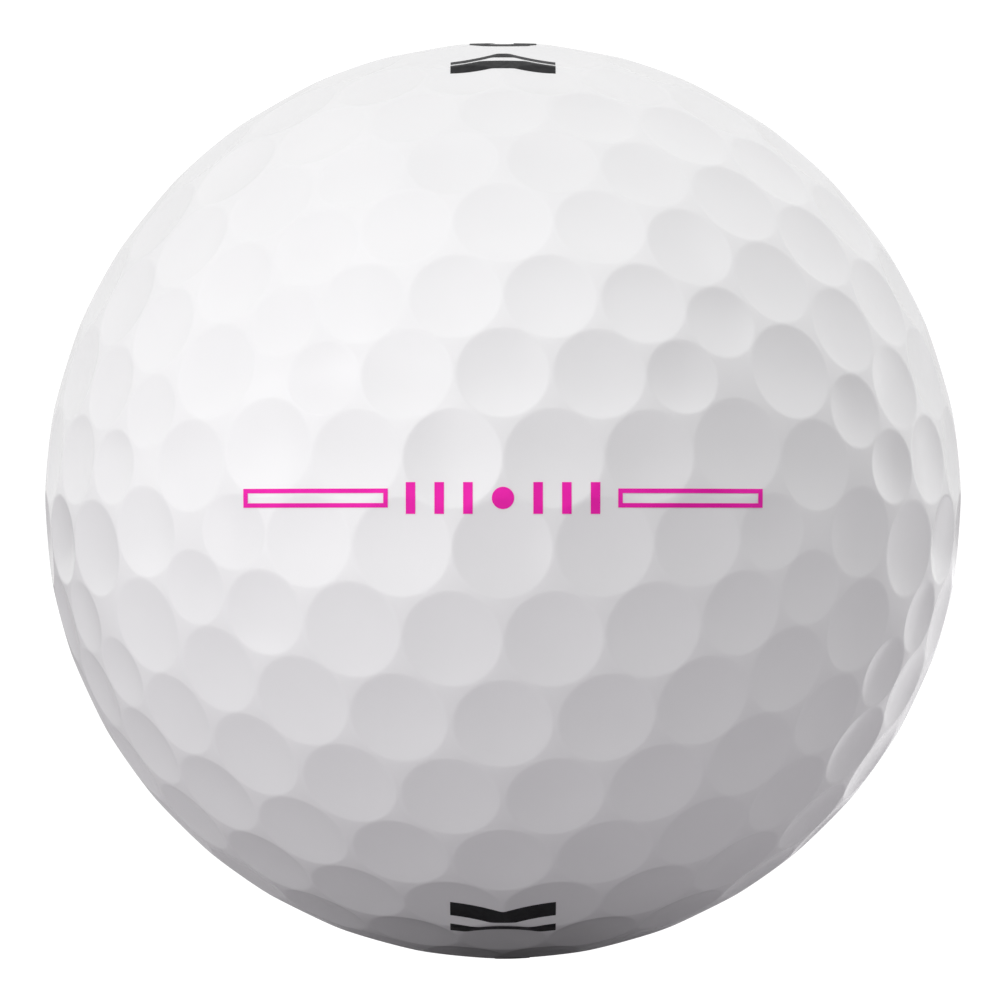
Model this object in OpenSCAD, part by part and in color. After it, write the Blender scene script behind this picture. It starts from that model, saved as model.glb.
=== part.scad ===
// Three-piece golf ball: a rubber core, a mantle of two half cups, a cover cast in two
// halves with 352 dimples in four sizes, and the printed marks.
// The origin is the ball's centre. +Z is the upper pole, and the side mark faces -Y.

/* [Ball] */
// Outside diameter, over the lands between the dimples
ball_d = 42.7; // [42.67:0.01:43]
// Diameter of the solid rubber core
core_d = 39.4; // [38:0.1:39.6]
// Wall of the mantle around the core
mantle_t = 0.9; // [0.7:0.05:1]

/* [Dimples] */
// Edge diameter of the large dimples
dimple_l = 4.4; // [4.2:0.05:4.45]
// Edge diameter of the medium dimples
dimple_m = 4.1; // [3.9:0.05:4.15]
// Edge diameter of the small dimples
dimple_s = 3.9; // [3.6:0.05:3.95]
// Edge diameter of the smallest dimples
dimple_xs = 3.4; // [3.2:0.05:3.45]
// Angle at a dimple's edge between its wall and the ball's surface, in degrees
edge_angle = 14; // [12:0.5:15]
// Least land that the layout seeks between two dimples
land = 0.12; // [0.08:0.01:0.15]

/* [Printed marks] */
// Thickness of the printed ink
ink_t = 0.02; // [0.01:0.005:0.03]
// Height of the side mark's ticks
side_mark_h = 1.4; // [1.2:0.1:1.5]
// Length of the side mark from end to end, as seen from the front
side_mark_w = 23; // [22:0.1:26]
// Line width of the side mark's open bars
side_line = 0.2; // [0.16:0.02:0.3]
// Upright ticks either side of the side mark's dot
side_ticks = 3; // [1:1:3]
// Length of the upper pole mark, across the pole from front to back
upper_mark_l = 16.6; // [12:0.2:18]
// Length of the lower pole mark
lower_mark_l = 20.6; // [12:0.2:22]
// Width of a pole mark
pole_mark_w = 4.8; // [4:0.1:5.5]

/* [Hidden] */
$fn = 64;
// Facets round the layers' spheres and round a dimple's, in a preview
ball_facets = 256;
dimple_facets = 128;

ball_r = ball_d / 2;
core_r = core_d / 2;
mantle_r = core_r + mantle_t;

// One dimple of each kind: [degrees round from the front, degrees up from the equator,
// edge diameter]. The 24 turns and mirrorings of a tetrahedron carry them over the ball.
// The first eight stand along the parting line in this order, below and above it by turns.
seeds = [
    [0, -6, dimple_l],
    [6, 5, dimple_l],
    [12, -6, dimple_l],
    [18, 5, dimple_m],
    [24, -5, dimple_m],
    [30, 6, dimple_l],
    [34, -4, dimple_xs],
    [41, 4, dimple_m],
    [0, 35, dimple_l],
    [0, 15, dimple_m],
    [0, -28, dimple_l],
    [6, 25, dimple_m],
    [6, -17, dimple_l],
    [12, 15, dimple_m],
    [14, -27, dimple_l],
    [19, 24, dimple_s],
    [19, -16, dimple_l],
    [23, 15, dimple_xs],
    [31, -14, dimple_s],
];
// Dimples beside the parting line all the way round, twice the 30 on either side
line_dimples = 60;
axis_orders = [[0, 1, 2], [1, 2, 0], [2, 0, 1], [0, 2, 1], [2, 1, 0], [1, 0, 2]];
axis_flips = [[1, 1, 1], [1, -1, -1], [-1, 1, -1], [-1, -1, 1]];
// The tetrahedron's axes stand this far round Z from the ball's
pattern_turn = 45;
// An image of a dimple nearer than this to it is the same dimple, on a mirror plane
same_place = 1.8;
// The spacing is repeated this often, and closes this share of a shortfall each time
spacing_rounds = 30;
spacing_share = 0.2;
// Room that a cutter has past the edge it cuts
margin = 0.04;
cutter_h = 1;

function onto_ball(v) = v * ball_r / norm(v);
function from_angles(round, up) =
    ball_r * [cos(up) * sin(round), -cos(up) * cos(round), sin(up)];
function turned(p, angle) =
    [p.x * cos(angle) - p.y * sin(angle), p.x * sin(angle) + p.y * cos(angle), p.z];
function total(list, i = 0) = i == len(list) - 1 ? list[i] : list[i] + total(list, i + 1);

// The 24 places that a tetrahedron's symmetry gives a point
function images(p) = [
    for (order = axis_orders, flip = axis_flips) [for (k = [0:2]) flip[k] * p[order[k]]]
];
function on_mirror(p) =
    onto_ball(total([for (q = images(p)) if (norm(q - p) < same_place) q]));
function is_first(list, i) =
    len([for (j = [0:1:i - 1]) if (norm(list[j] - list[i]) < same_place) j]) == 0;
function distinct(list) = [for (i = [0:len(list) - 1]) if (is_first(list, i)) list[i]];

// The move off a neighbour at q that stands nearer than reach
function off(p, q, reach) =
    let (d = norm(p - q)) d > same_place && d < reach ? (p - q) * (reach / d - 1) : [0, 0, 0];
function spaced(points, rounds) =
    rounds == 0 ? points :
    let (neighbours = [for (p = points) images(p)])
    spaced([
        for (i = [0:len(seeds) - 1])
        onto_ball(points[i] + spacing_share * total([
            for (j = [0:len(seeds) - 1], q = neighbours[j])
            off(points[i], q, (seeds[i][2] + seeds[j][2]) / 2 + land)
        ]))
    ], rounds - 1);

first_places = [for (s = seeds) on_mirror(turned(from_angles(s[0], s[1]), pattern_turn))];
places = spaced(first_places, spacing_rounds);

// Every dimple of the ball, as [the middle of its mouth on the ball's surface, edge diameter]
dimples = [
    for (i = [0:len(seeds) - 1], p = distinct(images(places[i])))
    [turned(p, -pattern_turn), seeds[i][2]]
];

// The dimples beside the parting line in order round it: a quarter turn repeats by mirrors,
// and half of that quarter repeats by a half turn about the axis midway along it
function line_dimple(k) =
    k > line_dimples / 2 ? let (d = line_dimple(line_dimples - k)) [[-d[0].x, d[0].y, d[0].z], d[1]] :
    k > line_dimples / 4 ? let (d = line_dimple(line_dimples / 2 - k)) [[d[0].x, -d[0].y, d[0].z], d[1]] :
    k > line_dimples / 8 ? let (d = line_dimple(line_dimples / 4 - k)) [[-d[0].y, -d[0].x, -d[0].z], d[1]] :
    [turned(places[k], -pattern_turn), seeds[k][2]];

function edge_height(d) = sqrt(ball_r * ball_r - d * d / 4);
// The flat of a dimple's edge, as the vector n that gives n * x = 1 for its points x
function edge_plane(dimple) = dimple[0] / ball_r / edge_height(dimple[1]);
// The parting line turns where the edge planes of three successive dimples meet
function line_corner(k) =
    let (
        a = edge_plane(line_dimple((k + line_dimples - 1) % line_dimples)),
        b = edge_plane(line_dimple(k)),
        c = edge_plane(line_dimple((k + 1) % line_dimples)),
        v = cross(a - b, b - c)
    )
    onto_ball(v * sign(v * b));

// Space above the wavy parting line, out past the ball
module above_parting_line() {
    out = 1.3;
    last = line_dimples;
    corners = [for (k = [0:last - 1]) line_corner(k) * out];
    tops = [for (c = corners) [c.x, c.y, ball_r * out]];
    polyhedron(
        points = concat([[0, 0, 0]], corners, tops),
        faces = concat(
            [for (k = [1:last]) [0, k, k % last + 1]],
            [for (k = [1:last]) [k, k + last, k % last + 1 + last, k % last + 1]],
            [[for (k = [last:-1:1]) k + last]]
        )
    );
}

// Sets its children with +Z out through a point of the ball's surface
module facing(p) {
    rotate([0, acos(p.z / ball_r), atan2(p.y, p.x)]) children();
}

// Tool for one dimple: a spherical cap, raised by lift for the ink that lines it
module dimple_cutter(d, lift = 0) {
    chord_slope = asin(d / 2 / ball_r);
    cap_r = d / 2 / sin(edge_angle - chord_slope);
    cap_z = edge_height(d) + sqrt(cap_r * cap_r - d * d / 4);
    intersection() {
        translate([0, 0, cap_z]) sphere(r = cap_r - lift, $fn = dimple_facets);
        translate([0, 0, edge_height(d) - cutter_h / 2]) cylinder(d = d + 2 * margin, h = cutter_h);
    }
}

module dimple_cutters(list, lift = 0) {
    for (dimple = list) facing(dimple[0]) dimple_cutter(dimple[1], lift);
}

module ball(r) {
    sphere(r = r, $fn = ball_facets);
}

module core() {
    color("darkorange") ball(core_r);
}

// Half of the mantle, above the equator or, with side = -1, below it
module mantle_cup(side) {
    difference() {
        ball(mantle_r);
        ball(core_r);
        translate([0, 0, -side * ball_r]) cube(2 * ball_r, center = true);
    }
}

module mantle_lower() {
    color("cornflowerblue") mantle_cup(-1);
}

module mantle_upper() {
    color("cornflowerblue") mantle_cup(1);
}

module cover_lower() {
    color("white")
    difference() {
        ball(ball_r);
        ball(mantle_r);
        above_parting_line();
        dimple_cutters([for (d = dimples) if (d[0].z < 0) d]);
    }
}

module cover_upper() {
    color("white")
    difference() {
        intersection() {
            ball(ball_r);
            above_parting_line();
        }
        ball(mantle_r);
        dimple_cutters([for (d = dimples) if (d[0].z > 0) d]);
    }
}

// Ink on the cover where its children stand, which reach across the ball's surface.
// It lines the dimples there, whose middles are within reach of the point at.
module ink(at, reach) {
    near = [for (d = dimples) if (norm(d[0] - at) < reach) d];
    difference() {
        intersection() {
            ball(ball_r + ink_t);
            children();
        }
        dimple_cutters(near, ink_t);
        difference() {
            ball(ball_r);
            dimple_cutters(near);
        }
    }
}

// Side mark as seen from the front: a dot, a row of upright ticks either side of it, and an
// open bar past each row
module side_mark_outline() {
    first_tick = side_mark_h * 0.95;
    tick_step = side_mark_h * 0.9;
    tick_w = side_mark_h * 0.3;
    open_start = side_mark_w * 0.22;
    open_h = side_mark_h * 0.6;
    circle(d = side_mark_h * 0.7);
    for (side = [0, 1]) mirror([side, 0]) {
        for (k = [0:side_ticks - 1])
            translate([first_tick + k * tick_step, -side_mark_h / 2]) square([tick_w, side_mark_h]);
        difference() {
            translate([open_start, -open_h / 2]) square([side_mark_w / 2 - open_start, open_h]);
            translate([open_start + side_line, -open_h / 2 + side_line])
            square([side_mark_w / 2 - open_start - 2 * side_line, open_h - 2 * side_line]);
        }
    }
}

module side_mark() {
    color("deeppink")
    ink([0, -ball_r, 0], side_mark_w / 2 + dimple_l)
    rotate([90, 0, 0]) translate([0, 0, ball_r / 2]) linear_extrude(ball_r) side_mark_outline();
}

// Play number, a 4 with straight strokes
module play_number(h) {
    w = h * 0.72;
    stroke = h * 0.17;
    stem = w * 0.16;
    bar = -h * 0.26;
    difference() {
        polygon([
            [stem + stroke, h / 2], [stem, h / 2], [-w / 2, bar + stroke], [-w / 2, bar],
            [stem, bar], [stem, -h / 2], [stem + stroke, -h / 2], [stem + stroke, bar],
            [w / 2, bar], [w / 2, bar + stroke], [stem + stroke, bar + stroke],
        ]);
        polygon([
            [stem, bar + stroke], [stem, h / 2 - stroke * 1.5], [stroke - w / 2, bar + stroke],
        ]);
    }
}

// Pole mark: the play number between a thick and a thin bar on either side
module pole_mark_outline(l) {
    thick = 1;
    thin = 0.6;
    thin_end = l / 2 - 1.6 * thick;
    play_number(pole_mark_w * 0.9);
    for (side = [0, 1]) mirror([0, side]) {
        translate([-pole_mark_w / 2, l / 2 - thick]) square([pole_mark_w, thick]);
        translate([-pole_mark_w / 2, thin_end - thin]) square([pole_mark_w, thin]);
    }
}

module pole_mark_column(l) {
    translate([0, 0, ball_r / 2]) linear_extrude(ball_r) pole_mark_outline(l);
}

module lower_pole_mark() {
    color("dimgray")
    ink([0, 0, -ball_r], lower_mark_l / 2 + dimple_l)
    rotate([180, 0, 0]) pole_mark_column(lower_mark_l);
}

module upper_pole_mark() {
    color("dimgray")
    ink([0, 0, ball_r], upper_mark_l / 2 + dimple_l) pole_mark_column(upper_mark_l);
}

core();
mantle_lower();
mantle_upper();
cover_lower();
cover_upper();
side_mark();
lower_pole_mark();
upper_pole_mark();
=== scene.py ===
"""Golf ball: the looks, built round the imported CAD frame.

Lengths are in millimetres until a mesh is made, where MM turns them into metres. The
dimple layout, the parting line and the marks' outlines follow the rules in part.scad.
"""

from math import ceil, cos, pi, radians, sin, sqrt

import bpy
import numpy as np
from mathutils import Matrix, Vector
from mathutils.geometry import delaunay_2d_cdt


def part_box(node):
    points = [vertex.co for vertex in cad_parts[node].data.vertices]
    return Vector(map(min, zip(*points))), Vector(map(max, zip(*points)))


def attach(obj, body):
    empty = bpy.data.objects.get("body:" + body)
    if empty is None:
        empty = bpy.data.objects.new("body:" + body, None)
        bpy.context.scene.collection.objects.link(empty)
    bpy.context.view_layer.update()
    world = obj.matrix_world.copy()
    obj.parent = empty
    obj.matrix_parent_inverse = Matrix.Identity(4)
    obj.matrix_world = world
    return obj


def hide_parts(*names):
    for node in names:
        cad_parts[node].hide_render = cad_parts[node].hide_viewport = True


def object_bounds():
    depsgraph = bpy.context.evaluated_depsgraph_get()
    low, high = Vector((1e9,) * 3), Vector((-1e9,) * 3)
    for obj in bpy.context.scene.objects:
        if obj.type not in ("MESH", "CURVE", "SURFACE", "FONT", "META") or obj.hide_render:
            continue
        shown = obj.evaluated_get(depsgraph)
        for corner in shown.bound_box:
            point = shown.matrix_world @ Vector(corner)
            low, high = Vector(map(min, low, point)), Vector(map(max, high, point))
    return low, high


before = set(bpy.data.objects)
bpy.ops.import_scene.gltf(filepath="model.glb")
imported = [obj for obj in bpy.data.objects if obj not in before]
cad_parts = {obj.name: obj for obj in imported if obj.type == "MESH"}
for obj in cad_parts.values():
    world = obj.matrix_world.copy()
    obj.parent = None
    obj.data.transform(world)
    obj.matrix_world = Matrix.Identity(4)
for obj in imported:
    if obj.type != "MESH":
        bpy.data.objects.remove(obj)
cad_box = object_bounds()

MM = 0.001


def node_size(node):
    """Size of a CAD node along X, Y and Z, in millimetres."""
    low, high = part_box(node)
    return [round((b - a) / MM, 2) for a, b in zip(low, high)]


BALL_R = node_size("cover_upper")[0] / 2
MANTLE_R = node_size("mantle_upper")[0] / 2
SIDE_MARK_W, _, SIDE_MARK_H = node_size("side_mark")

# ------------------------------------------------------------------ dimple layout

# Edge diameters of the dimples
DIMPLE_L, DIMPLE_M, DIMPLE_S, DIMPLE_XS = 4.4, 4.1, 3.9, 3.4
# Angle at a dimple's edge between its wall and the ball's surface
EDGE_ANGLE = radians(14)
# Least land that the layout seeks between two dimples
LAND = 0.12

# One dimple of each kind: degrees round from the front, degrees up from the equator, edge
# diameter. A tetrahedron's 24 turns and mirrorings carry them over the ball. The first
# eight stand along the parting line in this order, below and above it by turns.
SEEDS = [
    (0, -6, DIMPLE_L),
    (6, 5, DIMPLE_L),
    (12, -6, DIMPLE_L),
    (18, 5, DIMPLE_M),
    (24, -5, DIMPLE_M),
    (30, 6, DIMPLE_L),
    (34, -4, DIMPLE_XS),
    (41, 4, DIMPLE_M),
    (0, 35, DIMPLE_L),
    (0, 15, DIMPLE_M),
    (0, -28, DIMPLE_L),
    (6, 25, DIMPLE_M),
    (6, -17, DIMPLE_L),
    (12, 15, DIMPLE_M),
    (14, -27, DIMPLE_L),
    (19, 24, DIMPLE_S),
    (19, -16, DIMPLE_L),
    (23, 15, DIMPLE_XS),
    (31, -14, DIMPLE_S),
]
SEED_D = np.array([seed[2] for seed in SEEDS])
# Dimples beside the parting line all the way round, twice the 30 on either side
LINE_DIMPLES = 60
AXIS_ORDERS = [(0, 1, 2), (1, 2, 0), (2, 0, 1), (0, 2, 1), (2, 1, 0), (1, 0, 2)]
AXIS_FLIPS = [(1, 1, 1), (1, -1, -1), (-1, 1, -1), (-1, -1, 1)]
# The tetrahedron's axes stand this far round Z from the ball's
PATTERN_TURN = radians(45)
# An image of a dimple nearer than this to it is the same dimple, on a mirror plane
SAME_PLACE = 1.8
# The spacing is repeated this often, and closes this share of a shortfall each time
SPACING_ROUNDS = 30
SPACING_SHARE = 0.2


def unit(v):
    """The vectors in the last axis of an array, each at length 1."""
    return v / np.linalg.norm(v, axis=-1, keepdims=True)


def from_angles(turn, up):
    """The point of the ball's surface that is turn degrees from the front and up degrees up."""
    a, e = radians(turn), radians(up)
    return BALL_R * np.array([cos(e) * sin(a), -cos(e) * cos(a), sin(e)])


def turned(p, angle):
    """Points turned about Z."""
    c, s = cos(angle), sin(angle)
    return p @ np.array([[c, s, 0], [-s, c, 0], [0, 0, 1]])


def images(p):
    """The 24 places that a tetrahedron's symmetry gives each point."""
    turns = [p[..., list(order)] * flip for order in AXIS_ORDERS for flip in AXIS_FLIPS]
    return np.stack(turns, axis=-2)


def on_mirror(p):
    """A point moved onto the mirror planes that it stands close to."""
    copies = images(p)
    close = copies[np.linalg.norm(copies - p, axis=-1) < SAME_PLACE]
    return BALL_R * unit(close.sum(0))


def distinct(points):
    """The points without repeats."""
    kept = []
    for p in points:
        if all(np.linalg.norm(p - q) >= SAME_PLACE for q in kept):
            kept.append(p)
    return kept


def spaced(points):
    """The seeds' points, moved until their dimples stand LAND apart where there is room."""
    reach = ((SEED_D[:, None] + SEED_D[None, :]) / 2 + LAND)[:, :, None]
    for _ in range(SPACING_ROUNDS):
        away = points[:, None, None, :] - images(points)[None]
        gap = np.linalg.norm(away, axis=-1)
        crowded = (gap > SAME_PLACE) & (gap < reach)
        push = np.where(crowded, reach / np.maximum(gap, SAME_PLACE) - 1, 0)
        points = points + SPACING_SHARE * (away * push[..., None]).sum((1, 2))
        points = BALL_R * unit(points)
    return points


PLACES = spaced(np.array([
    on_mirror(turned(from_angles(turn, up), PATTERN_TURN)) for turn, up, _ in SEEDS
]))


def all_dimples():
    """The dimples' axes, as unit vectors, and their edge diameters."""
    axes, diameters = [], []
    for place, d in zip(PLACES, SEED_D):
        copies = distinct(images(place))
        axes += copies
        diameters += [d] * len(copies)
    return unit(turned(np.array(axes), -PATTERN_TURN)), np.array(diameters)


AXES, DIAMETERS = all_dimples()

# ------------------------------------------------------------------ dimpled surface

# Half the depth over which the paint rounds a dimple's edge
EDGE_SOFT = 0.024
# Cosine of the widest angle from a dimple's axis at which the surface still feels it
FEELS = cos(0.14)
# Directions worked out at once, to keep memory use low
SURFACE_BATCH = 20000

# Angles from the dimples' axes to their edges
HALF_ANGLES = np.arcsin(DIAMETERS / 2 / BALL_R)
# Radii of the spheres that cut the dimples, and their centres' distances from the ball's
CAP_R = DIAMETERS / 2 / np.sin(EDGE_ANGLE - HALF_ANGLES)
CAP_FAR = np.sqrt(BALL_R**2 - DIAMETERS**2 / 4) + np.sqrt(CAP_R**2 - DIAMETERS**2 / 4)


def surface_batch(u):
    """surface() for one batch of directions."""
    lean = u @ AXES.T
    row, cap = np.nonzero(lean > FEELS)
    along = lean[row, cap] * CAP_FAR[cap]
    root = np.sqrt(along**2 - CAP_FAR[cap]**2 + CAP_R[cap]**2)
    depth = BALL_R - along + root
    soft = np.clip((depth + EDGE_SOFT) / (2 * EDGE_SOFT), 0, 1)
    cut = np.where(depth < EDGE_SOFT, soft**2 * EDGE_SOFT, depth)
    radius = BALL_R - np.bincount(row, cut, len(u))
    pull = soft * CAP_FAR[cap] * (1 - along / root)
    gradient = np.stack([np.bincount(row, pull * AXES[cap, k], len(u)) for k in range(3)], 1)
    sideways = gradient - (gradient * u).sum(1, keepdims=True) * u
    return radius, unit(u - sideways / radius[:, None])


def surface(u):
    """Radius and unit normal of the ball's dimpled surface along unit directions."""
    batches = [
        surface_batch(u[start:start + SURFACE_BATCH])
        for start in range(0, len(u), SURFACE_BATCH)
    ]
    return np.concatenate([b[0] for b in batches]), np.concatenate([b[1] for b in batches])


def clear_of_dimples(u):
    """Distance along the surface from each direction to the nearest dimple's edge."""
    angle = np.arccos(np.clip(u @ AXES.T, -1, 1))
    return BALL_R * (angle - HALF_ANGLES).min(1)


# ------------------------------------------------------------------ parting line

# Points on each stretch of the line between two of its corners
SEAM_STEPS = 8


def line_dimple(k):
    """Axis and diameter of the k-th dimple beside the parting line, counted from the front."""
    if k > LINE_DIMPLES / 2:
        axis, d = line_dimple(LINE_DIMPLES - k)
        return axis * (-1, 1, 1), d
    if k > LINE_DIMPLES / 4:
        axis, d = line_dimple(LINE_DIMPLES // 2 - k)
        return axis * (1, -1, 1), d
    if k > LINE_DIMPLES / 8:
        axis, d = line_dimple(LINE_DIMPLES // 4 - k)
        return -axis[[1, 0, 2]], d
    return unit(turned(PLACES[k], -PATTERN_TURN)), SEED_D[k]


def edge_plane(k):
    """The flat of a line dimple's edge, as the vector n that gives n.x = 1 for its points."""
    axis, d = line_dimple(k % LINE_DIMPLES)
    return axis / sqrt(BALL_R**2 - d**2 / 4)


def line_corner(k):
    """Where the edge planes of three successive line dimples meet, as a direction."""
    a, b, c = edge_plane(k - 1), edge_plane(k), edge_plane(k + 1)
    v = np.cross(a - b, b - c)
    return unit(v * np.sign(v @ b))


def parting_line():
    """Directions along the parting line, anticlockwise from above, from the front."""
    corners = np.array([line_corner(k) for k in range(LINE_DIMPLES)])
    after = np.roll(corners, -1, axis=0)
    share = (np.arange(SEAM_STEPS) / SEAM_STEPS)[None, :, None]
    return unit(corners[:, None] * (1 - share) + after[:, None] * share).reshape(-1, 3)


SEAM = parting_line()


def clear_of_seam(u, side):
    """Distance along the surface to the parting line, negative on the other half."""
    order = np.argsort(np.arctan2(SEAM[:, 1], SEAM[:, 0]))
    line = SEAM[order]
    turn = np.arctan2(line[:, 1], line[:, 0])
    at = np.searchsorted(turn, np.arctan2(u[:, 1], u[:, 0])) % len(line)
    upright = np.cross(line[at - 1], line[at])
    above = (upright * u).sum(1) * side > 0
    nearest = np.arccos(np.clip((u @ SEAM.T).max(1), -1, 1)) * BALL_R
    return np.where(above, nearest, -nearest)


# ------------------------------------------------------------------ meshes

# The triangulation's mode that keeps only what the loops enclose, and its tolerance
ENCLOSED_ONLY = 1
FILL_TOLERANCE = 1e-7


def area(points):
    """Twice the area that a closed row of 2-D points goes round anticlockwise."""
    x, y = points.T
    return x @ np.roll(y, -1) - y @ np.roll(x, -1)


def fill(points, loops):
    """Triangles, as indices of 2-D points, over what the loops enclose less its holes."""
    flat = [Vector(p) for p in points.tolist()]
    rings = [loop if area(points[loop]) > 0 else loop[::-1] for loop in loops]
    made = delaunay_2d_cdt(flat, [], rings, ENCLOSED_ONLY, FILL_TOLERANCE)
    source = [origin[0] for origin in made[3]]
    kept = [face for face, within in zip(made[2], made[5]) if len(within) == 1]
    triangles = np.array([[source[i] for i in face] for face in kept])
    return triangles if area(points[triangles[0]]) > 0 else triangles[:, ::-1]


def strip(lower, upper):
    """Quads between two closed rows of vertex indices."""
    return np.stack([lower, np.roll(lower, -1), np.roll(upper, -1), upper], 1)


def flat_normals(points, faces):
    """Corner normals of flat faces."""
    a, b, c = (points[faces[:, k]] for k in range(3))
    across = points[faces[:, -1]] if faces.shape[1] == 4 else c
    normal = np.cross(b - a + c - across, across - a + c - b)
    return np.repeat(unit(normal)[:, None], faces.shape[1], 1)


def add_piece(name, points, groups, material, node, slot):
    """A closed mesh that stands for a CAD node. Each group is faces and corner normals."""
    faces = [face for group, _ in groups for face in group.tolist()]
    normals = np.concatenate([n.reshape(-1, 3) for _, n in groups])
    mesh = bpy.data.meshes.new(name)
    mesh.from_pydata((points * MM).tolist(), [], faces, shade_flat=False)
    mesh.normals_split_custom_set(normals.tolist())
    mesh.materials.append(material)
    piece = bpy.data.objects.new(name, mesh)
    bpy.context.scene.collection.objects.link(piece)
    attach(piece, "root")
    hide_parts(node)
    return piece


# ------------------------------------------------------------------ cover halves

# Points round a dimple
DIMPLE_STEPS = 48
# Rings of a dimple: evenly out to RIM_IN inside its edge, then at these distances from it
BOWL_RINGS = 4
RIM_OFFSETS = [-0.3, -0.16, -0.08, -0.03, 0.03]
# The land's own points: rows that follow the edges, and a scatter where it is wide
SHOULDER_OUT = 0.1
SHOULDER_CLEAR = 0.08
SCATTER_STEP = 0.45
SCATTER_CLEAR = 0.28
# Spacing of the lining's points
INSIDE_STEP = 1.0


def scatter(step):
    """Directions spread evenly over a ball of the cover's size, about step apart."""
    count = int(4 * pi * BALL_R**2 / step**2)
    k = np.arange(count) + 0.5
    up = 1 - 2 * k / count
    turn = pi * (1 + sqrt(5)) * k
    across = np.sqrt(1 - up**2)
    return np.stack([across * np.cos(turn), across * np.sin(turn), up], 1)


def circles(axes, radii, steps):
    """Directions round each axis, at the radii given for it: [axis, ring, step, xyz]."""
    right = unit(np.cross([0, 0, 1], axes))
    up = np.cross(axes, right)
    turn = 2 * pi * np.arange(steps) / steps
    ray = right[:, None] * np.cos(turn)[:, None] + up[:, None] * np.sin(turn)[:, None]
    sine = (radii / BALL_R)[:, :, None, None]
    return axes[:, None, None] * np.sqrt(1 - sine**2) + ray[:, None] * sine


def ring_radii(d):
    """Radii of a dimple's rings."""
    bowl = np.arange(1, BOWL_RINGS) / BOWL_RINGS * (d / 2 + RIM_OFFSETS[0])
    return np.concatenate([bowl, d / 2 + np.array(RIM_OFFSETS)])


def dimple_faces(first, rings):
    """Triangles and quads of one dimple, whose centre is vertex first."""
    rows = [first + 1 + ring * DIMPLE_STEPS + np.arange(DIMPLE_STEPS) for ring in range(rings)]
    centre = np.full(DIMPLE_STEPS, first)
    fan = np.stack([centre, rows[0], np.roll(rows[0], -1)], 1)
    bands = [strip(outer, inner) for inner, outer in zip(rows, rows[1:])]
    return fan, np.concatenate(bands), rows[-1]


def onto_plane(u, side):
    """Stereographic map of one half, whose outside keeps its sense of turning."""
    return np.stack([u[:, 0], side * u[:, 1]], 1) / (1 + side * u[:, 2:])


def land_points(mine, side):
    """Directions of the land's own points on one half."""
    shoulder = DIAMETERS[mine, None] / 2 + SHOULDER_OUT
    rows = circles(AXES[mine], shoulder, DIMPLE_STEPS).reshape(-1, 3)
    rows = rows[clear_of_dimples(rows) > SHOULDER_CLEAR]
    loose = scatter(SCATTER_STEP)
    loose = loose[clear_of_dimples(loose) > SCATTER_CLEAR]
    points = np.concatenate([rows, loose])
    return points[clear_of_seam(points, side) > SHOULDER_CLEAR]


def cover_half(side):
    """Points and face groups of the cover above the parting line, or below it at side -1."""
    mine = np.nonzero(AXES[:, 2] * side > 0)[0]
    radii = np.array([ring_radii(d) for d in DIAMETERS[mine]])
    rings = circles(AXES[mine], radii, DIMPLE_STEPS)
    bowls = np.concatenate([AXES[mine][:, None], rings.reshape(len(mine), -1, 3)], 1)
    fans, bands, edges = zip(*[
        dimple_faces(i * bowls.shape[1], radii.shape[1]) for i in range(len(mine))
    ])

    seam = SEAM[::side]
    outside = np.concatenate([bowls.reshape(-1, 3), seam, land_points(mine, side)])
    seam_row = bowls.shape[0] * bowls.shape[1] + np.arange(len(seam))
    loops = [seam_row.tolist()] + [edge.tolist() for edge in edges]
    used = np.concatenate([np.concatenate(edges), np.arange(seam_row[0], len(outside))])
    renumber = np.zeros(len(outside), int)
    renumber[used] = np.arange(len(used))
    flat_loops = [renumber[loop].tolist() for loop in loops]
    land = used[fill(onto_plane(outside[used], side), flat_loops)]

    inner = scatter(INSIDE_STEP)
    inner = np.concatenate([seam, inner[clear_of_seam(inner, side) > INSIDE_STEP / 2]])
    lining = fill(onto_plane(inner, side), [list(range(len(seam)))])[:, ::-1]

    radius, normal = surface(outside)
    points = np.concatenate([outside * radius[:, None], inner * MANTLE_R])
    normals = np.concatenate([normal, -inner])
    inner_row = len(outside) + np.arange(len(seam))
    lining = lining + len(outside)
    wall = strip(inner_row, seam_row)
    smooth = [np.concatenate(fans), np.concatenate(bands), land, lining]
    groups = [(faces, normals[faces]) for faces in smooth]
    return points, groups + [(wall, flat_normals(points, wall))]


# ------------------------------------------------------------------ printed marks

# Thickness of the ink over the cover, and how far its underside is sunk into the paint
INK_T = 0.02
INK_SUNK = 0.005
# Spacing of the ink's points, and the least distance from its edge to those inside it
INK_STEP = 0.1
INK_CLEAR = INK_STEP * 0.55
# Rounds that settle the ink's points on the surface
INK_ROUNDS = 6
# The side mark's line width and its ticks on either side
SIDE_LINE = 0.2
SIDE_TICKS = 3
DOT_STEPS = 64
# Widths of a pole mark's bars, and the distance from its end to the thin bar's outer edge
POLE_THICK, POLE_THIN, POLE_THIN_IN = 1, 0.6, 1.6


def box_outline(low_x, low_y, high_x, high_y):
    """Corners of an upright rectangle."""
    return [(low_x, low_y), (high_x, low_y), (high_x, high_y), (low_x, high_y)]


def mirrored(outlines, flip):
    """Outlines, each a list of loops, mirrored by a pair of signs."""
    return [[[(x * flip[0], y * flip[1]) for x, y in loop] for loop in o] for o in outlines]


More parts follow.
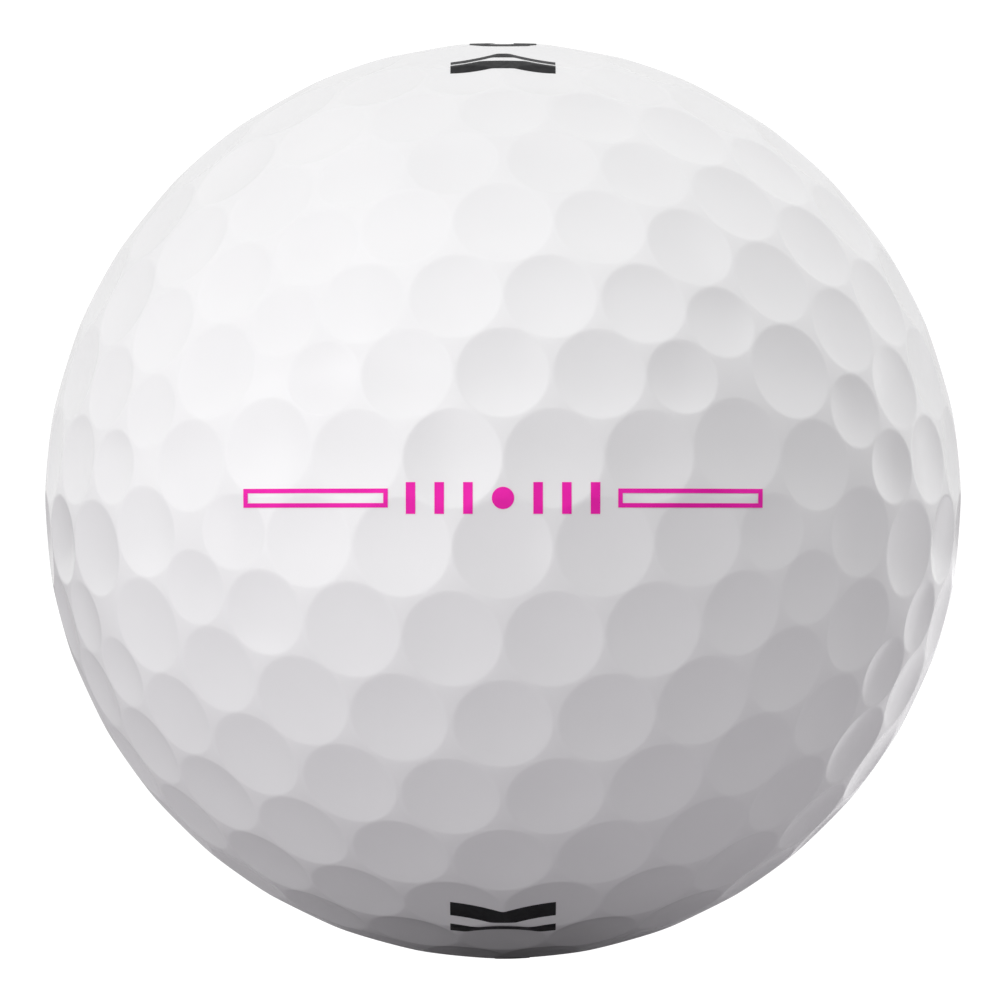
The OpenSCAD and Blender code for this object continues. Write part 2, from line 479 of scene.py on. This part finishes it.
def side_mark_outlines():
    """A dot, a row of upright ticks either side of it and an open bar past each row."""
    h = SIDE_MARK_H
    first_tick, tick_step, tick_w = h * 0.95, h * 0.9, h * 0.3
    start, end, open_h = SIDE_MARK_W * 0.22, SIDE_MARK_W / 2, h * 0.3
    turns = [2 * pi * k / DOT_STEPS for k in range(DOT_STEPS)]
    dot = [[(h * 0.35 * cos(a), h * 0.35 * sin(a)) for a in turns]]
    lefts = [first_tick + k * tick_step for k in range(SIDE_TICKS)]
    ticks = [[box_outline(left, -h / 2, left + tick_w, h / 2)] for left in lefts]
    hole = box_outline(start + SIDE_LINE, SIDE_LINE - open_h, end - SIDE_LINE, open_h - SIDE_LINE)
    right = ticks + [[box_outline(start, -open_h, end, open_h), hole]]
    return [dot] + right + mirrored(right, (-1, 1))


def play_number(h):
    """Play number, a 4 with straight strokes."""
    w = h * 0.72
    stroke = h * 0.17
    stem = w * 0.16
    bar = -h * 0.26
    body = [
        (stem + stroke, h / 2), (stem, h / 2), (-w / 2, bar + stroke), (-w / 2, bar),
        (stem, bar), (stem, -h / 2), (stem + stroke, -h / 2), (stem + stroke, bar),
        (w / 2, bar), (w / 2, bar + stroke), (stem + stroke, bar + stroke),
    ]
    hole = [(stem, bar + stroke), (stem, h / 2 - stroke * 1.5), (stroke - w / 2, bar + stroke)]
    return [body, hole]


def pole_mark_outlines(node):
    """The play number between a thick and a thin bar on either side."""
    width, length, _ = node_size(node)
    w, end = width / 2, length / 2
    thin_end = end - POLE_THIN_IN
    number_h = width * 0.9
    bars = [
        [box_outline(-w, end - POLE_THICK, w, end)],
        [box_outline(-w, thin_end - POLE_THIN, w, thin_end)],
    ]
    return [play_number(number_h)] + bars + mirrored(bars, (1, -1))


def subdivided(loop):
    """A loop's points, with more between them where they stand over INK_STEP apart."""
    points = []
    for a, b in zip(loop, loop[1:] + loop[:1]):
        a, b = np.array(a), np.array(b)
        steps = ceil(np.linalg.norm(b - a) / INK_STEP)
        points += [a + (b - a) * k / steps for k in range(steps)]
    return np.array(points)


def sheet_mesh(outline):
    """2-D points and triangles of one outline, with a grid of points inside it."""
    loops = [subdivided(loop) for loop in outline]
    rim = np.concatenate(loops)
    low, high = rim.min(0), rim.max(0)
    grid = np.stack(np.meshgrid(*[np.arange(a, b, INK_STEP) for a, b in zip(low, high)]), -1)
    grid = grid.reshape(-1, 2)
    apart = np.linalg.norm(grid[:, None] - rim[None], axis=-1).min(1)
    points = np.concatenate([rim, grid[apart > INK_CLEAR]])
    starts = np.cumsum([0] + [len(loop) for loop in loops])
    rows = [list(range(a, b)) for a, b in zip(starts, starts[1:])]
    used, triangles = np.unique(fill(points, rows), return_inverse=True)
    return points[used], triangles.reshape(-1, 3)


def wrapped(flat, out, right, lift):
    """Flat points carried along the direction out onto the surface, with its normals."""
    up = np.cross(out, right)
    base = flat[:, :1] * right + flat[:, 1:] * up
    across = (flat**2).sum(1)
    radius = np.full(len(flat), BALL_R)
    for _ in range(INK_ROUNDS):
        u = unit(base + np.sqrt((radius + lift)**2 - across)[:, None] * out)
        radius, normal = surface(u)
    return u * (radius + lift)[:, None], normal


def rim_edges(triangles):
    """The triangles' edges that only one of them uses, in its sense of turning."""
    edges = np.concatenate([triangles[:, [0, 1]], triangles[:, [1, 2]], triangles[:, [2, 0]]])
    keys = {tuple(edge) for edge in edges.tolist()}
    return np.array([edge for edge in edges.tolist() if (edge[1], edge[0]) not in keys])


def ink(outlines, out, right):
    """Points and face groups of closed ink films on the surface round the direction out."""
    out, right = np.array(out, float), np.array(right, float)
    flats, films = [], []
    count = 0
    for outline in outlines:
        flat, triangles = sheet_mesh(outline)
        flats.append(flat)
        films.append(triangles + count)
        count += len(flat)
    flat, triangles = np.concatenate(flats), np.concatenate(films)
    top, normal = wrapped(flat, out, right, INK_T)
    bottom, _ = wrapped(flat, out, right, -INK_SUNK)
    points = np.concatenate([top, bottom])
    under = triangles[:, ::-1] + count
    rim = rim_edges(triangles)
    wall = np.stack([rim[:, 1], rim[:, 0], rim[:, 0] + count, rim[:, 1] + count], 1)
    return points, [
        (triangles, normal[triangles]),
        (under, -normal[under - count]),
        (wall, flat_normals(points, wall)),
    ]


# ------------------------------------------------------------------ materials

# A material's fine waves to each of its broad ones
FINE_WAVES = 8
COAT_ROUGHNESS = 0.2


class Nodes:
    """A short way to write a node tree."""

    def __init__(self, tree):
        self.tree = tree

    def add(self, kind, settings=None, **inputs):
        """A node of a kind, with its settings and inputs set or linked."""
        node = self.tree.nodes.new(kind)
        for name, value in (settings or {}).items():
            setattr(node, name, value)
        for name, value in inputs.items():
            self.feed(node.inputs[name.replace("_", " ")], value)
        return node

    def feed(self, socket, value):
        """Links an output to a socket, or sets the socket's value."""
        if isinstance(value, bpy.types.NodeSocket):
            self.tree.links.new(value, socket)
        else:
            socket.default_value = value

    def noise(self, where, scale, detail=2.0):
        """A noise pattern's value, from 0 to 1, with scale bumps to the metre."""
        settings = {"Vector": where, "Scale": scale, "Detail": detail}
        return self.add("ShaderNodeTexNoise", **settings).outputs["Fac"]

    def between(self, factor, low, high):
        """A number that runs from low to high as factor, mostly 0.3 to 0.7, rises."""
        node = self.add("ShaderNodeMapRange", Value=factor)
        node.inputs["From Min"].default_value = 0.3
        node.inputs["From Max"].default_value = 0.7
        node.inputs["To Min"].default_value = low
        node.inputs["To Max"].default_value = high
        return node.outputs["Result"]

    def mix(self, factor, low, high):
        """A colour between two."""
        node = self.add("ShaderNodeMix", {"data_type": "RGBA"})
        self.feed(node.inputs["Factor"], factor)
        self.feed(node.inputs[6], low)
        self.feed(node.inputs[7], high)
        return node.outputs[2]


def new_material(name, low, high, rough, grain, bump, specular=0.5, coat=0.0):
    """A material that varies between two colours and two roughnesses over its grain.

    grain is the size of the variation, bump the height of its fine waves, both in metres."""
    material = bpy.data.materials.new(name)
    material.use_nodes = True
    tree = material.node_tree
    tree.nodes.clear()
    nodes = Nodes(tree)
    where = nodes.add("ShaderNodeTexCoord").outputs["Object"]
    broad = nodes.noise(where, 1 / grain)
    fine = nodes.noise(where, FINE_WAVES / grain, 3.0)
    waves = nodes.add("ShaderNodeBump", Height=fine, Distance=bump, Strength=1.0)
    shader = nodes.add("ShaderNodeBsdfPrincipled")
    nodes.feed(shader.inputs["Base Color"], nodes.mix(nodes.between(broad, 0, 1), low, high))
    nodes.feed(shader.inputs["Roughness"], nodes.between(fine, *rough))
    nodes.feed(shader.inputs["Normal"], waves.outputs["Normal"])
    nodes.feed(shader.inputs["Specular IOR Level"], specular)
    nodes.feed(shader.inputs["Coat Weight"], coat)
    nodes.feed(shader.inputs["Coat Roughness"], COAT_ROUGHNESS)
    nodes.feed(shader.inputs["Coat Normal"], waves.outputs["Normal"])
    out = nodes.add("ShaderNodeOutputMaterial")
    tree.links.new(shader.outputs["BSDF"], out.inputs["Surface"])
    return material


cover_paint = new_material(
    "cover_paint", (0.88, 0.876, 0.885, 1), (0.905, 0.902, 0.91, 1),
    rough=(0.3, 0.4), grain=0.006, bump=2e-6, specular=0.2, coat=1.0,
)
side_ink = new_material(
    "side_ink", (0.86, 0.012, 0.4, 1), (0.96, 0.02, 0.47, 1),
    rough=(0.45, 0.6), grain=0.002, bump=2e-6, specular=0.15,
)
pole_ink = new_material(
    "pole_ink", (0.012, 0.012, 0.013, 1), (0.022, 0.022, 0.024, 1),
    rough=(0.45, 0.6), grain=0.002, bump=2e-6, specular=0.15,
)
core_rubber = new_material(
    "core_rubber", (0.62, 0.2, 0.04, 1), (0.78, 0.3, 0.07, 1),
    rough=(0.55, 0.75), grain=0.0015, bump=2e-5,
)
mantle_ionomer = new_material(
    "mantle_ionomer", (0.3, 0.44, 0.62, 1), (0.36, 0.5, 0.66, 1),
    rough=(0.35, 0.5), grain=0.004, bump=5e-6,
)

# ------------------------------------------------------------------ the ball

for half, side in (("upper", 1), ("lower", -1)):
    add_piece(
        f"cover_{half}_shell", *cover_half(side), cover_paint, f"cover_{half}", "cover_urethane"
    )
add_piece(
    "side_mark_film", *ink(side_mark_outlines(), (0, -1, 0), (1, 0, 0)),
    side_ink, "side_mark", "side_ink",
)
for half, side in (("upper", 1), ("lower", -1)):
    mark = f"{half}_pole_mark"
    add_piece(
        f"{half}_pole_film", *ink(pole_mark_outlines(mark), (0, 0, side), (1, 0, 0)),
        pole_ink, mark, "pole_ink",
    )
for node, material in (
    ("core", core_rubber), ("mantle_lower", mantle_ionomer), ("mantle_upper", mantle_ionomer),
):
    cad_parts[node].material_slots[0].material = material

# ------------------------------------------------------------------ floor, light, camera

# The floor's gap under the ball and its reach, in metres, and its colour
FLOOR_GAP = 0.0005
FLOOR_REACH = 1.0
FLOOR_COLOUR = (0.47, 0.455, 0.475, 1)

scene = bpy.context.scene
scene.view_settings.view_transform = "Standard"


def add_floor():
    """A pale floor just under the ball that throws light up at it, unseen by the camera."""
    reach, z = FLOOR_REACH, cad_box[0].z - FLOOR_GAP
    corners = [(-reach, -reach, z), (reach, -reach, z), (reach, reach, z), (-reach, reach, z)]
    mesh = bpy.data.meshes.new("floor")
    mesh.from_pydata(corners, [], [(0, 1, 2, 3)])
    material = bpy.data.materials.new("floor")
    material.use_nodes = True
    shader = material.node_tree.nodes["Principled BSDF"]
    shader.inputs["Base Color"].default_value = FLOOR_COLOUR
    shader.inputs["Roughness"].default_value = 1.0
    mesh.materials.append(material)
    floor = bpy.data.objects.new("floor", mesh)
    floor.visible_camera = False
    scene.collection.objects.link(floor)


# Square screens near the ball: degrees round from the front, degrees up, distance and width
# in ball radii, and brightness. One stands at the front left and one hangs over the front.
# Weak ones stand at the left and at the right, and the last one stands half below the floor
# at the back right, where it lights the ball's lower right edge.
SCREENS = [
    (-35, 0, 3.5, 3.5, 1.2),
    (5, 45, 5, 7, 0.55),
    (-80, -10, 4, 2.5, 0.25),
    (115, 0, 4, 2, 0.35),
    (140, -28, 2, 1.8, 0.55),
]


def add_screens():
    """The screens, as area lights that face the ball."""
    for turn, up, off, width, bright in SCREENS:
        light = bpy.data.lights.new("screen", "AREA")
        light.size = width * BALL_R * MM
        light.energy = bright * pi * light.size**2
        seat = bpy.data.objects.new("screen", light)
        seat.location = from_angles(turn, up) * off * MM
        seat.rotation_euler = seat.location.to_track_quat("Z", "Y").to_euler()
        seat.visible_camera = False
        scene.collection.objects.link(seat)


# Soft lights far off: degrees round from the front, degrees up, the cosines where the light
# begins and is full, and its brightness. One is a sky at the back, one a glow at the right.
LIGHTS = [
    (-160, 60, 0, 0.3, 0.85),
    (105, 30, 0.5, 1, 0.35),
]
# The backdrop's brightness, a little over white so that no grain shows in it
BACKDROP = 1.1


def add_world():
    """The soft lights, and a white backdrop that only the camera sees."""
    world = bpy.data.worlds.new("studio")
    world.use_nodes = True
    tree = world.node_tree
    tree.nodes.clear()
    nodes = Nodes(tree)
    where = nodes.add("ShaderNodeTexCoord").outputs["Generated"]
    total = 0.0
    for turn, up, begins, full, strength in LIGHTS:
        lean = nodes.add("ShaderNodeVectorMath", {"operation": "DOT_PRODUCT"})
        nodes.feed(lean.inputs[0], where)
        nodes.feed(lean.inputs[1], from_angles(turn, up) / BALL_R)
        glow = nodes.add("ShaderNodeMapRange", {"interpolation_type": "SMOOTHSTEP"})
        nodes.feed(glow.inputs["Value"], lean.outputs["Value"])
        nodes.feed(glow.inputs["From Min"], begins)
        nodes.feed(glow.inputs["From Max"], full)
        nodes.feed(glow.inputs["To Max"], strength)
        plus = nodes.add("ShaderNodeMath", {"operation": "ADD"})
        nodes.feed(plus.inputs[0], glow.outputs["Result"])
        nodes.feed(plus.inputs[1], total)
        total = plus.outputs["Value"]
    light = nodes.add("ShaderNodeBackground", Strength=total, Color=(1, 1, 1, 1))
    backdrop = nodes.add("ShaderNodeBackground", Strength=BACKDROP, Color=(1, 1, 1, 1))
    blend = nodes.add("ShaderNodeMixShader")
    nodes.feed(blend.inputs[0], nodes.add("ShaderNodeLightPath").outputs["Is Camera Ray"])
    nodes.feed(blend.inputs[1], light.outputs[0])
    nodes.feed(blend.inputs[2], backdrop.outputs[0])
    out = nodes.add("ShaderNodeOutputWorld")
    nodes.feed(out.inputs["Surface"], blend.outputs[0])
    scene.world = world


# The camera's distance in ball radii, and its height in degrees up from the equator
CAMERA_OFF = 16.2
CAMERA_UP = -0.3
# Its lens and its sensor's width in millimetres, and the picture's shift as a share of its width
CAMERA_LENS, CAMERA_SENSOR = 265.8, 36
CAMERA_SHIFT = (-0.0015, -0.001)


def add_camera():
    """A long lens in front of the side mark, a little below the ball's middle."""
    camera = bpy.data.cameras.new("camera")
    camera.sensor_width = CAMERA_SENSOR
    camera.lens = CAMERA_LENS
    camera.shift_x, camera.shift_y = CAMERA_SHIFT
    camera.clip_start = 0.01
    seat = bpy.data.objects.new("camera", camera)
    seat.location = from_angles(0, CAMERA_UP) * CAMERA_OFF * MM
    seat.rotation_euler = (pi / 2 - radians(CAMERA_UP), 0, 0)
    scene.collection.objects.link(seat)
    scene.camera = seat


add_floor()
add_screens()
add_world()
add_camera()
